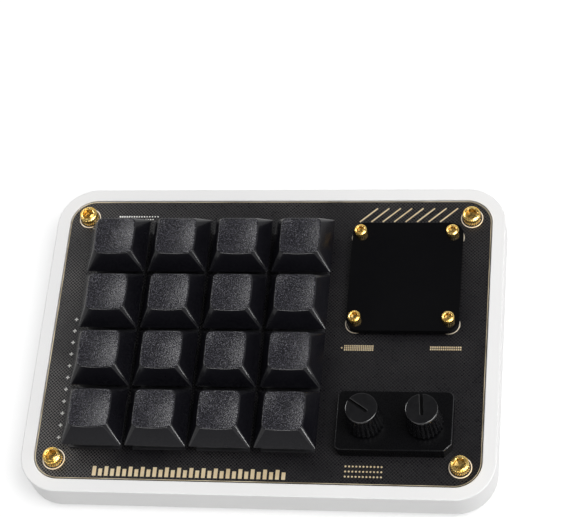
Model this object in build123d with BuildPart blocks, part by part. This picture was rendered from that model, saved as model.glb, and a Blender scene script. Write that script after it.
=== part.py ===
# Macro keypad: sixteen keys, a display under a dark cover and two push knobs, in a tray case.
# Millimetres. +X is to the user's right, +Y is to the rear and +Z is up. The origin is on
# the table, under the middle of the case.

import os
from math import atan, degrees, radians, tan

from build123d import *

os.makedirs("parts", exist_ok=True)

# ---------------------------------------------------------------- driving dimensions

# Case: a tray with a ledge for the plate and a post in each corner. Its width and depth
# follow the plate, and the plate follows what stands on it
case_height = 12.0
case_corner_radius = 12.0
case_bottom_bevel = 1.3
case_floor_thickness = 2.4
rim_width = 4.0
ledge_width = 2.0
post_merge = 0.4

# Feet under the case
foot_height = 1.6
rear_foot_radius = 4.8
rear_foot_crown_rise = 1.0
rear_foot_crown_inset = 2.8
rear_foot_sides = 16
rear_foot_side_inset = 19.0
rear_foot_rear_inset = 7.5
strip_length = 20.0
strip_width = 3.0
strip_side_inset = 19.0
strip_front_inset = 14.0
strip_end_bevel = 0.9

# Top plate: a circuit board that lies on the ledge
plate_thickness = 1.6
plate_gap = 0.3
plate_drop = 0.3
plate_left_margin = 9.175
plate_right_margin = 8.0
plate_front_margin = 8.125
plate_rear_margin = 9.725

# Socket-cap screws: M3 in the plate's corners, M2 through the display cover
corner_screw_inset = 5.9
m3_radius = 1.5
m3_head_radius = 2.75
m3_head_height = 3.0
m3_key_width = 2.5
m3_key_depth = 1.5
m3_length = 6.0
m2_radius = 1.0
m2_head_radius = 1.9
m2_head_height = 2.0
m2_key_width = 1.5
m2_key_depth = 1.0
m2_length = 6.6
screw_clearance = 0.15
# Knurled heads, shanks and small holes are drawn with flat sides
head_sides = 12
small_hole_sides = 6

# Threaded inserts in the corner posts
insert_radius = 2.1
insert_length = 4.6
insert_hole_depth = 5.6

# Key grid
key_columns = 4
key_rows = 4
key_spacing = 19.05

# Keycap: uniform profile with a round dish
cap_gap = 0.95
cap_top_size = 11.85
cap_corner_bevel = 1.1
cap_base_height = 6.0
cap_corner_height = 12.55
cap_dish_radius = 66.0
cap_wall = 1.2
cap_roof = 1.0
cap_boss_radius = 2.65
cap_boss_lift = 0.1
cap_trim = 0.1
boss_sides = 8

# Key switch, measured from the top face of the plate
switch_cutout = 14.0
switch_fit = 0.05
switch_drop = 5.0
flange_size = 15.6
flange_height = 1.0
upper_side_step = 0.3
upper_end_step = 0.7
upper_taper = 20.5
upper_top_height = 6.6
upper_roof = 1.2
housing_floor = 1.0
slide_clearance = 0.3
locating_post_radius = 1.95
locating_post_sides = 4
locating_post_length = 3.3
board_hole_clearance = 0.1
key_travel = 4.0

# Switch stem
neck_width = 6.6
neck_depth = 5.3
shoulder_width = 8.6
shoulder_depth = 6.4
shoulder_gap = 0.1
stem_bottom_gap = 0.2
platform_drop = 0.2
cross_height = 3.8
cross_length = 4.0
cross_thick_x = 1.3
cross_thick_y = 1.1
cross_fit = 0.02

# Coil spring in each switch, drawn as the space its coils fill
spring_radius = 2.1
spring_pocket_clearance = 0.25
spring_pocket_roof = 1.0
spring_sides = 6

# Contact legs of a switch, from the switch's centre
pin_width = 1.2
pin_thickness = 0.4
pin_length = 3.3
pin_one_x = -3.81
pin_one_y = 2.54
pin_two_x = 2.54
pin_two_y = 5.08
pin_hole_clearance = 0.2

# Main board under the plate
board_thickness = 1.6
board_wall_clearance = 1.2
board_corner_radius = 3.0
board_tab_width = 14.0
chip_size = 10.0
chip_height = 1.4
chip_forward = 13.0
chip_edge_break = 0.3

# Cable socket in the rear wall
socket_x = 0.0
socket_width = 8.94
socket_height = 3.26
socket_depth = 7.35
socket_wall = 0.3
socket_bevel = 0.95
socket_hole_depth = 6.2
socket_setback = 0.4
socket_clearance = 0.3
tongue_width = 6.7
tongue_thickness = 0.7
tongue_length = 4.5
usb_wall = 1.8
usb_pocket_clearance = 1.5
tab_clearance = 0.4

# Display under its dark cover
cover_key_gap = 5.375
cover_rear_inset = 9.35
cover_width = 33.4
cover_depth = 36.4
cover_thickness = 2.0
cover_corner_radius = 3.0
cover_lift = 1.4
cover_screw_side_inset = 2.85
cover_screw_end_inset = 3.6
cover_screw_left_shift = 0.3
cover_screw_rear_shift = 0.2
spacer_width = 4.0
display_board_thickness = 1.2
display_board_side_margin = 6.0
display_board_end_margin = 1.0
nut_width = 4.0
nut_height = 1.6
panel_side_margin = 5.2
panel_end_margin = 8.2
panel_height = 2.6
panel_clearance = 0.5
header_length = 17.8
header_width = 2.5
header_rear_inset = 4.2

# Low box under the knobs
deck_front_inset = 8.8
deck_right_inset = 8.2
deck_side_clearance = 0.8
deck_end_clearance = 1.65
deck_height = 4.5
deck_corner_radius = 3.0
deck_wall = 1.6
deck_roof = 1.5
deck_edge_break = 0.4

# Rotary encoders with a push switch, one under each knob
encoder_spacing = 17.1
encoder_right_shift = 0.2
encoder_front_shift = 0.5
encoder_width = 11.7
encoder_depth = 12.0
encoder_height = 6.5
encoder_floor = 0.8
encoder_roof = 1.2
encoder_cutout_clearance = 0.4
rotor_cavity_size = 9.4
bushing_radius = 3.5
bushing_height = 3.2
bushing_sides = 16
shaft_radius = 3.0
shaft_fit = 0.05
shaft_sides = 16
shaft_flat_depth = 1.5
shaft_flat_length = 6.0
rotor_radius = 4.3
rotor_height = 1.2
rotor_lift = 0.6
rotor_sides = 8
pusher_radius = 2.4
pusher_height = 0.8
push_travel = 0.5
push_stop_gap = 0.1

# Knob
knob_gap = 0.7
knob_height = 9.0
knob_base_radius = 5.55
knob_taper = 5.1
knob_edge_break = 0.35
knob_roof = 1.6
knob_flutes = 24
flute_depth = 0.35
knob_collar_height = 1.0
slot_width = 0.9
slot_depth = 0.5
slot_past_centre = 2.1
left_pointer_angle = 143.0
right_pointer_angle = 95.0

# ---------------------------------------------------------------- levels and places

case_bottom_z = foot_height
case_top_z = case_bottom_z + case_height
case_floor_z = case_bottom_z + case_floor_thickness
plate_top_z = case_top_z - plate_drop
plate_bottom_z = plate_top_z - plate_thickness
board_top_z = plate_top_z - switch_drop
board_bottom_z = board_top_z - board_thickness

# Plan, from the keys outwards: keys on the left, the display and the knobs on the right
cap_base_size = key_spacing - cap_gap
caps_width = (key_columns - 1) * key_spacing + cap_base_size
caps_depth = (key_rows - 1) * key_spacing + cap_base_size
plate_width = (
    plate_left_margin + caps_width + cover_key_gap + cover_width + plate_right_margin
)
plate_depth = plate_front_margin + caps_depth + plate_rear_margin
plate_corner_radius = case_corner_radius - rim_width - plate_gap
recess_width = plate_width + 2 * plate_gap
recess_depth = plate_depth + 2 * plate_gap
recess_corner_radius = case_corner_radius - rim_width
cavity_width = recess_width - 2 * ledge_width
cavity_depth = recess_depth - 2 * ledge_width
cavity_corner_radius = recess_corner_radius - ledge_width
case_width = recess_width + 2 * rim_width
case_depth = recess_depth + 2 * rim_width

key_grid_x = plate_left_margin + caps_width / 2 - plate_width / 2
key_grid_y = plate_front_margin + caps_depth / 2 - plate_depth / 2
cover_x = plate_width / 2 - plate_right_margin - cover_width / 2
cover_y = plate_depth / 2 - cover_rear_inset - cover_depth / 2
cover_screw_x = cover_x - cover_screw_left_shift
cover_screw_y = cover_y + cover_screw_rear_shift
cover_screw_pitch_x = cover_width - 2 * cover_screw_side_inset
cover_screw_pitch_y = cover_depth - 2 * cover_screw_end_inset
panel_width = cover_width - 2 * panel_side_margin
panel_depth = cover_depth - 2 * panel_end_margin
header_y = cover_y + cover_depth / 2 - header_rear_inset
chip_y = cover_y - chip_forward
deck_width = encoder_spacing + encoder_width + 2 * (deck_side_clearance + deck_wall)
deck_depth = encoder_depth + 2 * (deck_end_clearance + deck_wall)
deck_x = plate_width / 2 - deck_right_inset - deck_width / 2
deck_y = deck_front_inset + deck_depth / 2 - plate_depth / 2
encoder_left_x = deck_x + encoder_right_shift - encoder_spacing / 2
encoder_right_x = encoder_left_x + encoder_spacing
encoder_y = deck_y - encoder_front_shift

corner_pitch_x = plate_width - 2 * corner_screw_inset
corner_pitch_y = plate_depth - 2 * corner_screw_inset
post_reach = corner_screw_inset + plate_gap - ledge_width + post_merge

usb_pocket_y = case_depth / 2 - usb_wall
socket_mouth_y = case_depth / 2 - socket_setback

cover_bottom_z = plate_top_z + cover_lift
cover_top_z = cover_bottom_z + cover_thickness
display_board_bottom_z = plate_bottom_z - display_board_thickness

deck_top_z = plate_top_z + deck_height
encoder_top_z = board_top_z + encoder_height
pusher_bottom_z = board_top_z + encoder_floor + push_travel + push_stop_gap
pusher_top_z = pusher_bottom_z + pusher_height
knob_bottom_z = deck_top_z + knob_gap
knob_top_z = knob_bottom_z + knob_height


def key_centre(row, column):
    """Centre of a key: row 1 is the rear row, column 1 is on the left."""
    x = key_grid_x + (column - (key_columns + 1) / 2) * key_spacing
    y = key_grid_y + ((key_rows + 1) / 2 - row) * key_spacing
    return x, y


def level(height):
    """Plane at a height above the table."""
    return Plane.XY.offset(height)


def upright(x, y, height):
    """Plane at a height above the table, with its origin over a point."""
    return Plane(origin=(x, y, height))


def keep(part, name):
    """Label a finished piece and write it."""
    part.label = name
    export_step(part, f"parts/{name}.step")


# ---------------------------------------------------------------- case and feet

with BuildPart() as case_shell:
    with BuildSketch(level(case_bottom_z)):
        RectangleRounded(case_width, case_depth, case_corner_radius)
    extrude(amount=case_height)
    chamfer(case_shell.faces().sort_by(Axis.Z)[0].edges(), case_bottom_bevel)
    # Recess for the plate, and the cavity below its ledge
    with BuildSketch(level(plate_bottom_z)):
        RectangleRounded(recess_width, recess_depth, recess_corner_radius)
    extrude(amount=case_top_z - plate_bottom_z, mode=Mode.SUBTRACT)
    with BuildSketch(level(case_floor_z)):
        RectangleRounded(cavity_width, cavity_depth, cavity_corner_radius)
    extrude(amount=plate_bottom_z - case_floor_z, mode=Mode.SUBTRACT)
    # Corner posts with their insert holes
    with BuildSketch(level(case_floor_z)):
        with GridLocations(corner_pitch_x, corner_pitch_y, 2, 2):
            Rectangle(2 * post_reach, 2 * post_reach)
    extrude(amount=plate_bottom_z - case_floor_z)
    with BuildSketch(level(plate_bottom_z)):
        with GridLocations(corner_pitch_x, corner_pitch_y, 2, 2):
            RegularPolygon(insert_radius, small_hole_sides)
    extrude(amount=-insert_hole_depth, mode=Mode.SUBTRACT)
    # Pocket behind the rear wall for the socket's board tab, and the socket's opening
    pocket_width = board_tab_width + 2 * usb_pocket_clearance
    pocket_length = usb_pocket_y - cavity_depth / 2 + ledge_width
    with BuildSketch(upright(socket_x, usb_pocket_y - pocket_length / 2, case_floor_z)):
        Rectangle(pocket_width, pocket_length)
    extrude(amount=plate_bottom_z - case_floor_z, mode=Mode.SUBTRACT)
    rear_wall = Plane(
        origin=(socket_x, case_depth / 2, board_top_z + socket_height / 2),
        x_dir=(-1, 0, 0),
        z_dir=(0, 1, 0),
    )
    with BuildSketch(rear_wall) as socket_opening:
        Rectangle(socket_width + 2 * socket_clearance, socket_height + 2 * socket_clearance)
        chamfer(socket_opening.vertices(), socket_bevel)
    extrude(amount=-usb_wall, mode=Mode.SUBTRACT)
keep(case_shell.part, "case_shell")

rear_foot_x = case_width / 2 - rear_foot_side_inset
rear_foot_y = case_depth / 2 - rear_foot_rear_inset
# A low dome: a round pad whose crown slopes in to a flat on the floor
with BuildPart() as rear_feet:
    with BuildSketch(upright(0, rear_foot_y, 0)):
        with GridLocations(2 * rear_foot_x, 0, 2, 1):
            RegularPolygon(rear_foot_radius, rear_foot_sides)
    extrude(amount=foot_height)
    for floor_face in rear_feet.faces().filter_by(Axis.Z).group_by(Axis.Z)[0]:
        chamfer(
            floor_face.edges(),
            rear_foot_crown_inset,
            rear_foot_crown_rise,
            reference=floor_face,
        )
keep(rear_feet.part, "rear_feet")

with BuildPart() as front_foot_strips:
    strip_y = strip_front_inset - case_depth / 2
    strip_pitch = case_width - 2 * strip_side_inset
    with BuildSketch(upright(0, strip_y, 0)):
        with GridLocations(strip_pitch, 0, 2, 1):
            Rectangle(strip_length, strip_width)
    extrude(amount=foot_height)
    chamfer(front_foot_strips.edges().filter_by(Axis.Z), strip_end_bevel)
keep(front_foot_strips.part, "front_foot_strips")

# ---------------------------------------------------------------- top plate and its screws

with BuildPart() as top_plate:
    with BuildSketch(level(plate_bottom_z)):
        RectangleRounded(plate_width, plate_depth, plate_corner_radius)
        with GridLocations(corner_pitch_x, corner_pitch_y, 2, 2):
            RegularPolygon(m3_radius + screw_clearance, small_hole_sides, mode=Mode.SUBTRACT)
        with Locations((key_grid_x, key_grid_y)):
            with GridLocations(key_spacing, key_spacing, key_columns, key_rows):
                Rectangle(switch_cutout, switch_cutout, mode=Mode.SUBTRACT)
        with Locations((cover_screw_x, cover_screw_y)):
            with GridLocations(cover_screw_pitch_x, cover_screw_pitch_y, 2, 2):
                RegularPolygon(m2_radius + screw_clearance, small_hole_sides, mode=Mode.SUBTRACT)
        with Locations((cover_x, cover_y)):
            Rectangle(
                panel_width + 2 * panel_clearance,
                panel_depth + 2 * panel_clearance,
                mode=Mode.SUBTRACT,
            )
        with Locations((encoder_left_x, encoder_y), (encoder_right_x, encoder_y)):
            Rectangle(
                encoder_width + 2 * encoder_cutout_clearance,
                encoder_depth + 2 * encoder_cutout_clearance,
                mode=Mode.SUBTRACT,
            )
    extrude(amount=plate_thickness)
keep(top_plate.part, "top_plate")


def socket_cap_screws(places, seat_z, shank_radius, head_radius, head_height, key_width,
                      key_depth, length):
    """Socket-cap screws whose heads sit on one level, with plain shanks."""
    with BuildPart() as screws:
        with BuildSketch(level(seat_z)):
            with Locations(*places):
                RegularPolygon(head_radius, head_sides)
        extrude(amount=head_height)
        with BuildSketch(level(seat_z + head_height)):
            with Locations(*places):
                RegularPolygon(key_width / 2, 6, major_radius=False)
        extrude(amount=-key_depth, mode=Mode.SUBTRACT)
        with BuildSketch(level(seat_z)):
            with Locations(*places):
                RegularPolygon(shank_radius, small_hole_sides)
        extrude(amount=-length)
    return screws.part


corner_places = [
    (side_x * corner_pitch_x / 2, side_y * corner_pitch_y / 2)
    for side_x in (-1, 1)
    for side_y in (-1, 1)
]
plate_screws = socket_cap_screws(
    corner_places, plate_top_z, m3_radius, m3_head_radius, m3_head_height, m3_key_width,
    m3_key_depth, m3_length,
)
keep(plate_screws, "plate_screws")

with BuildPart() as plate_inserts:
    with BuildSketch(level(plate_bottom_z)):
        with Locations(*corner_places):
            RegularPolygon(insert_radius, small_hole_sides)
            RegularPolygon(m3_radius, small_hole_sides, mode=Mode.SUBTRACT)
    extrude(amount=-insert_length)
keep(plate_inserts.part, "plate_inserts")

# ---------------------------------------------------------------- main board

board_width = cavity_width - 2 * board_wall_clearance
board_depth = cavity_depth - 2 * board_wall_clearance
tab_end_y = usb_pocket_y - tab_clearance
notch_size = 2 * (post_reach + board_wall_clearance)

with BuildPart() as main_board:
    with BuildSketch(level(board_bottom_z)):
        RectangleRounded(board_width, board_depth, board_corner_radius)
        with Locations((socket_x, tab_end_y / 2)):
            Rectangle(board_tab_width, tab_end_y)
        with Locations(*corner_places):
            Rectangle(notch_size, notch_size, mode=Mode.SUBTRACT)
        with Locations((key_grid_x, key_grid_y)):
            with GridLocations(key_spacing, key_spacing, key_columns, key_rows):
                RegularPolygon(
                    locating_post_radius + board_hole_clearance,
                    locating_post_sides,
                    mode=Mode.SUBTRACT,
                )
                with Locations((pin_one_x, pin_one_y), (pin_two_x, pin_two_y)):
                    Rectangle(
                        pin_width + 2 * pin_hole_clearance,
                        pin_thickness + 2 * pin_hole_clearance,
                        mode=Mode.SUBTRACT,
                    )
    extrude(amount=board_thickness)
keep(main_board.part, "main_board")

with BuildPart() as controller_chip:
    with BuildSketch(upright(cover_x, chip_y, board_top_z)):
        Rectangle(chip_size, chip_size)
    extrude(amount=chip_height)
    chamfer(controller_chip.faces().sort_by(Axis.Z)[-1].edges(), chip_edge_break)
keep(controller_chip.part, "controller_chip")

socket_mouth = Plane(
    origin=(socket_x, socket_mouth_y, board_top_z + socket_height / 2),
    x_dir=(-1, 0, 0),
    z_dir=(0, 1, 0),
)
with BuildPart() as usb_socket:
    with BuildSketch(socket_mouth) as shell_outline:
        Rectangle(socket_width, socket_height)
        chamfer(shell_outline.vertices(), socket_bevel)
    extrude(amount=-socket_depth)
    with BuildSketch(socket_mouth) as shell_inside:
        Rectangle(socket_width - 2 * socket_wall, socket_height - 2 * socket_wall)
        chamfer(shell_inside.vertices(), socket_bevel - socket_wall / 2)
    extrude(amount=-socket_hole_depth, mode=Mode.SUBTRACT)
    with BuildSketch(socket_mouth.offset(-socket_hole_depth)):
        Rectangle(tongue_width, tongue_thickness)
    extrude(amount=tongue_length)
keep(usb_socket.part, "usb_socket")

# ---------------------------------------------------------------- key switches

flange_top_z = plate_top_z + flange_height
housing_bottom_z = board_top_z
housing_floor_z = housing_bottom_z + housing_floor
upper_base_width = flange_size - 2 * upper_side_step
upper_base_depth = flange_size - 2 * upper_end_step
upper_top_z = plate_top_z + upper_top_height
upper_roof_z = upper_top_z - upper_roof
slide_width = shoulder_width + 2 * slide_clearance
slide_depth = shoulder_depth + 2 * slide_clearance


def switch_grid():
    """Places of the sixteen switches, from the key grid's centre."""
    return GridLocations(key_spacing, key_spacing, key_columns, key_rows)


key_plane_origin = (key_grid_x, key_grid_y)

with BuildPart() as switch_lower_housings:
    lower_size = switch_cutout - 2 * switch_fit
    with BuildSketch(upright(*key_plane_origin, housing_bottom_z)):
        with switch_grid():
            Rectangle(lower_size, lower_size)
    extrude(amount=switch_drop)
    with BuildSketch(upright(*key_plane_origin, plate_top_z)):
        with switch_grid():
            Rectangle(flange_size, flange_size)
    extrude(amount=flange_height)
    with BuildSketch(upright(*key_plane_origin, housing_floor_z)):
        with switch_grid():
            Rectangle(slide_width, slide_depth)
    extrude(amount=flange_top_z - housing_floor_z, mode=Mode.SUBTRACT)
    with BuildSketch(upright(*key_plane_origin, housing_bottom_z)):
        with switch_grid():
            RegularPolygon(locating_post_radius, locating_post_sides)
    extrude(amount=-locating_post_length)
keep(switch_lower_housings.part, "switch_lower_housings")

with BuildPart() as switch_upper_housings:
    with BuildSketch(upright(*key_plane_origin, flange_top_z)):
        with switch_grid():
            Rectangle(upper_base_width, upper_base_depth)
    extrude(amount=upper_top_z - flange_top_z, taper=upper_taper)
    with BuildSketch(upright(*key_plane_origin, flange_top_z)):
        with switch_grid():
            Rectangle(slide_width, slide_depth)
    extrude(amount=upper_roof_z - flange_top_z, mode=Mode.SUBTRACT)
    with BuildSketch(upright(*key_plane_origin, upper_roof_z)):
        with switch_grid():
            Rectangle(neck_width + 2 * slide_clearance, neck_depth + 2 * slide_clearance)
    extrude(amount=upper_roof, mode=Mode.SUBTRACT)
keep(switch_upper_housings.part, "switch_upper_housings")

shoulder_top_z = upper_roof_z - shoulder_gap
stem_bottom_z = housing_floor_z + key_travel + stem_bottom_gap
platform_z = upper_top_z - platform_drop
cross_top_z = platform_z + cross_height
spring_top_z = shoulder_top_z - spring_pocket_roof
spring_pocket = 2 * (spring_radius + spring_pocket_clearance)

with BuildPart() as switch_springs:
    with BuildSketch(upright(*key_plane_origin, housing_floor_z)):
        with switch_grid():
            RegularPolygon(spring_radius, spring_sides)
    extrude(amount=spring_top_z - housing_floor_z)
keep(switch_springs.part, "switch_springs")

with BuildPart() as switch_contact_pins:
    with BuildSketch(upright(*key_plane_origin, housing_bottom_z)):
        with switch_grid():
            with Locations((pin_one_x, pin_one_y), (pin_two_x, pin_two_y)):
                Rectangle(pin_width, pin_thickness)
    extrude(amount=-pin_length)
keep(switch_contact_pins.part, "switch_contact_pins")


def cross(fit):
    """Outline of the stem's cross, wider by a fit on every side."""
    Rectangle(cross_length + 2 * fit, cross_thick_x + 2 * fit)
    Rectangle(cross_thick_y + 2 * fit, cross_length + 2 * fit)


def switch_stem(x, y):
    """Sliding stem: a shouldered block over the spring, with the cross on top."""
    with BuildPart() as stem:
        with BuildSketch(upright(x, y, stem_bottom_z)):
            Rectangle(shoulder_width, shoulder_depth)
            Rectangle(spring_pocket, spring_pocket, mode=Mode.SUBTRACT)
        extrude(amount=spring_top_z - stem_bottom_z)
        with BuildSketch(upright(x, y, spring_top_z)):
            Rectangle(shoulder_width, shoulder_depth)
        extrude(amount=shoulder_top_z - spring_top_z)
        with BuildSketch(upright(x, y, shoulder_top_z)):
            Rectangle(neck_width, neck_depth)
        extrude(amount=platform_z - shoulder_top_z)
        with BuildSketch(upright(x, y, platform_z)):
            cross(0)
        extrude(amount=cross_height)
    return stem.part


# ---------------------------------------------------------------- keycaps

cap_base_z = plate_top_z + cap_base_height
cap_corner_z = plate_top_z + cap_corner_height
cap_side_height = cap_corner_z - cap_base_z
cap_slope = (cap_base_size - cap_top_size) / 2 / cap_side_height
cap_taper = degrees(atan(cap_slope))
# The dish is a sphere that meets the top outline at its bevelled corners
cap_corner_reach = (cap_top_size - cap_corner_bevel) / 2**0.5
cap_dish_z = cap_corner_z + (cap_dish_radius**2 - cap_corner_reach**2) ** 0.5
cap_roof_z = cap_dish_z - cap_dish_radius - cap_roof
cap_boss_z = platform_z + cap_boss_lift


def keycap(x, y):
    """Tapered cap with a dished top, hollow below, with a boss that grips the stem."""
    with BuildPart() as cap:
        with BuildSketch(upright(x, y, cap_base_z)):
            Rectangle(cap_base_size, cap_base_size)
        extrude(amount=cap_side_height + cap_trim, taper=cap_taper)
        level_edges = cap.edges().filter_by(Axis.X) + cap.edges().filter_by(Axis.Y)
        chamfer(cap.edges() - level_edges, cap_corner_bevel)
        with Locations((x, y, cap_dish_z)):
            Sphere(cap_dish_radius, rotation=(90, 45, 0), mode=Mode.SUBTRACT)
        with BuildSketch(upright(x, y, cap_base_z)):
            Rectangle(cap_base_size - 2 * cap_wall, cap_base_size - 2 * cap_wall)
        extrude(amount=cap_roof_z - cap_base_z, taper=cap_taper, mode=Mode.SUBTRACT)
        with BuildSketch(upright(x, y, cap_boss_z)):
            RegularPolygon(cap_boss_radius, boss_sides)
        extrude(amount=cap_roof_z - cap_boss_z)
        with BuildSketch(upright(x, y, cap_boss_z)):
            cross(cross_fit)
        extrude(amount=cross_top_z - cap_boss_z + cap_boss_lift, mode=Mode.SUBTRACT)
    return cap.part


for row in range(1, key_rows + 1):
    for column in range(1, key_columns + 1):
        key_x, key_y = key_centre(row, column)
        keep(switch_stem(key_x, key_y), f"switch_stem_r{row}c{column}")
        keep(keycap(key_x, key_y), f"keycap_r{row}c{column}")

# ---------------------------------------------------------------- display

with BuildPart() as display_cover:
    with BuildSketch(level(cover_bottom_z)):
        with Locations((cover_x, cover_y)):
            RectangleRounded(cover_width, cover_depth, cover_corner_radius)
        with Locations((cover_screw_x, cover_screw_y)):
            with GridLocations(cover_screw_pitch_x, cover_screw_pitch_y, 2, 2):
                RegularPolygon(m2_radius + screw_clearance, small_hole_sides, mode=Mode.SUBTRACT)
    extrude(amount=cover_thickness)
keep(display_cover.part, "display_cover")

cover_places = [
    (
        cover_screw_x + side_x * cover_screw_pitch_x / 2,
        cover_screw_y + side_y * cover_screw_pitch_y / 2,
    )
    for side_x in (-1, 1)
    for side_y in (-1, 1)
]
display_screws = socket_cap_screws(
    cover_places, cover_top_z, m2_radius, m2_head_radius, m2_head_height, m2_key_width,
    m2_key_depth, m2_length,
)
keep(display_screws, "display_screws")

with BuildPart() as display_spacers:
    with BuildSketch(level(plate_top_z)):
        with Locations(*cover_places):
            RegularPolygon(spacer_width / 2, 6, major_radius=False)
            RegularPolygon(m2_radius + screw_clearance, small_hole_sides, mode=Mode.SUBTRACT)
    extrude(amount=cover_lift)
keep(display_spacers.part, "display_spacers")

with BuildPart() as display_board:
    with BuildSketch(upright(cover_x, cover_y, display_board_bottom_z)):
        Rectangle(
            cover_width - 2 * display_board_side_margin,
            cover_depth - 2 * display_board_end_margin,
        )
    extrude(amount=display_board_thickness)
keep(display_board.part, "display_board")

with BuildPart() as display_nuts:
    with BuildSketch(level(plate_bottom_z)):
        with Locations(*cover_places):
            RegularPolygon(nut_width / 2, 6, major_radius=False)
            RegularPolygon(m2_radius, small_hole_sides, mode=Mode.SUBTRACT)
    extrude(amount=-nut_height)
keep(display_nuts.part, "display_nuts")

with BuildPart() as display_panel:
    with BuildSketch(upright(cover_x, cover_y, plate_bottom_z)):
        Rectangle(panel_width, panel_depth)
    extrude(amount=panel_height)
keep(display_panel.part, "display_panel")

with BuildPart() as display_header:
    with BuildSketch(upright(cover_x, header_y, board_top_z)):
        Rectangle(header_length, header_width)
    extrude(amount=display_board_bottom_z - board_top_z)
keep(display_header.part, "display_header")

# ---------------------------------------------------------------- knob deck

encoder_places = [(encoder_left_x, encoder_y), (encoder_right_x, encoder_y)]

with BuildPart() as knob_deck:
    with BuildSketch(upright(deck_x, deck_y, plate_top_z)):
        RectangleRounded(deck_width, deck_depth, deck_corner_radius)
    extrude(amount=deck_height)
    chamfer(knob_deck.faces().sort_by(Axis.Z)[-1].edges(), deck_edge_break)
    with BuildSketch(upright(deck_x, deck_y, plate_top_z)):
        Rectangle(deck_width - 2 * deck_wall, deck_depth - 2 * deck_wall)
    extrude(amount=deck_height - deck_roof, mode=Mode.SUBTRACT)
    with BuildSketch(level(deck_top_z)):
        with Locations(*encoder_places):
            RegularPolygon(bushing_radius + slide_clearance, bushing_sides)
    extrude(amount=-deck_roof, mode=Mode.SUBTRACT)
keep(knob_deck.part, "knob_deck")

# ---------------------------------------------------------------- encoders

shaft_hole_radius = shaft_radius + shaft_fit
rotor_cavity_top_z = encoder_top_z - encoder_roof

with BuildPart() as encoder_bodies:
    with BuildSketch(level(board_top_z)):
        with Locations(*encoder_places):
            Rectangle(encoder_width, encoder_depth)
    extrude(amount=encoder_height)
    with BuildSketch(level(encoder_top_z)):
        with Locations(*encoder_places):
            RegularPolygon(bushing_radius, bushing_sides)
    extrude(amount=bushing_height)
    with BuildSketch(level(board_top_z + encoder_floor)):
        with Locations(*encoder_places):
            Rectangle(rotor_cavity_size, rotor_cavity_size)
    extrude(amount=encoder_height - encoder_floor - encoder_roof, mode=Mode.SUBTRACT)
    with BuildSketch(level(rotor_cavity_top_z)):
        with Locations(*encoder_places):
            Circle(shaft_hole_radius)
    extrude(amount=encoder_roof + bushing_height, mode=Mode.SUBTRACT)
keep(encoder_bodies.part, "encoder_bodies")


def encoder_pusher(x, y):
    """Pad under the shaft that closes the push switch."""
    with BuildPart() as pusher:
        with BuildSketch(upright(x, y, pusher_bottom_z)):
            RegularPolygon(pusher_radius, rotor_sides)
        extrude(amount=pusher_height)
    return pusher.part


shaft_top_z = knob_top_z - knob_roof
rotor_bottom_z = pusher_top_z + rotor_lift


def encoder_shaft(x, y):
    """Round shaft with a rotor disc at its foot and a flat at its top."""
    with BuildPart() as shaft:
        with BuildSketch(upright(x, y, pusher_top_z)):
            RegularPolygon(shaft_radius, shaft_sides)
        extrude(amount=shaft_top_z - pusher_top_z)
        with BuildSketch(upright(x, y, rotor_bottom_z)):
            RegularPolygon(rotor_radius, rotor_sides)
        extrude(amount=rotor_height)
        with BuildSketch(upright(x, y, shaft_top_z)):
            with Locations((0, shaft_radius - shaft_flat_depth / 2)):
                Rectangle(2 * shaft_radius, shaft_flat_depth)
        extrude(amount=-shaft_flat_length, mode=Mode.SUBTRACT)
    return shaft.part


# ---------------------------------------------------------------- knobs


def fluted_outline(radius, depth):
    """Corners of a knob's grip: ridges on a circle, with a V-shaped flute between each pair."""
    points = []
    for flute in range(knob_flutes):
        ridge = Vector(radius, 0).rotate(Axis.Z, flute * 360 / knob_flutes)
        valley = Vector(radius - depth, 0).rotate(Axis.Z, (flute + 1 / 2) * 360 / knob_flutes)
        points += [(ridge.X, ridge.Y), (valley.X, valley.Y)]
    return points


def knob(x, y, pointer_angle):
    """Tapered knob: a fluted grip, a plain collar with a broken edge and a pointer slot."""
    collar_z = knob_top_z - knob_collar_height
    collar_radius = knob_base_radius - (collar_z - knob_bottom_z) * tan(radians(knob_taper))
    collar_flute_depth = flute_depth * collar_radius / knob_base_radius
    with BuildPart() as turned:
        with BuildSketch(upright(x, y, knob_bottom_z)):
            Polygon(*fluted_outline(knob_base_radius, flute_depth), align=None)
        with BuildSketch(upright(x, y, collar_z)):
            Polygon(*fluted_outline(collar_radius, collar_flute_depth), align=None)
        loft(ruled=True)
        with BuildSketch(upright(x, y, collar_z)):
            RegularPolygon(collar_radius, knob_flutes)
        extrude(amount=knob_collar_height, taper=knob_taper)
        chamfer(turned.faces().sort_by(Axis.Z)[-1].edges(), knob_edge_break)
        # Bore for the shaft, with the key that fills the shaft's flat
        with BuildSketch(upright(x, y, knob_bottom_z)):
            RegularPolygon(shaft_radius, shaft_sides)
        extrude(amount=shaft_top_z - knob_bottom_z, mode=Mode.SUBTRACT)
        with BuildSketch(upright(x, y, shaft_top_z)):
            RegularPolygon(shaft_radius, shaft_sides)
            with Locations((0, -shaft_flat_depth)):
                Rectangle(2 * shaft_radius, 2 * shaft_radius, mode=Mode.SUBTRACT)
        extrude(amount=-shaft_flat_length)
        # Pointer slot, from past the centre out through the edge
        pointer = Plane(
            origin=(x, y, knob_top_z),
            x_dir=Vector(1, 0, 0).rotate(Axis.Z, pointer_angle),
        )
        with BuildSketch(pointer):
            with Locations(((knob_base_radius - slot_past_centre) / 2, 0)):
                Rectangle(knob_base_radius + slot_past_centre, slot_width)
        extrude(amount=-slot_depth, mode=Mode.SUBTRACT)
    return turned.part


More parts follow.
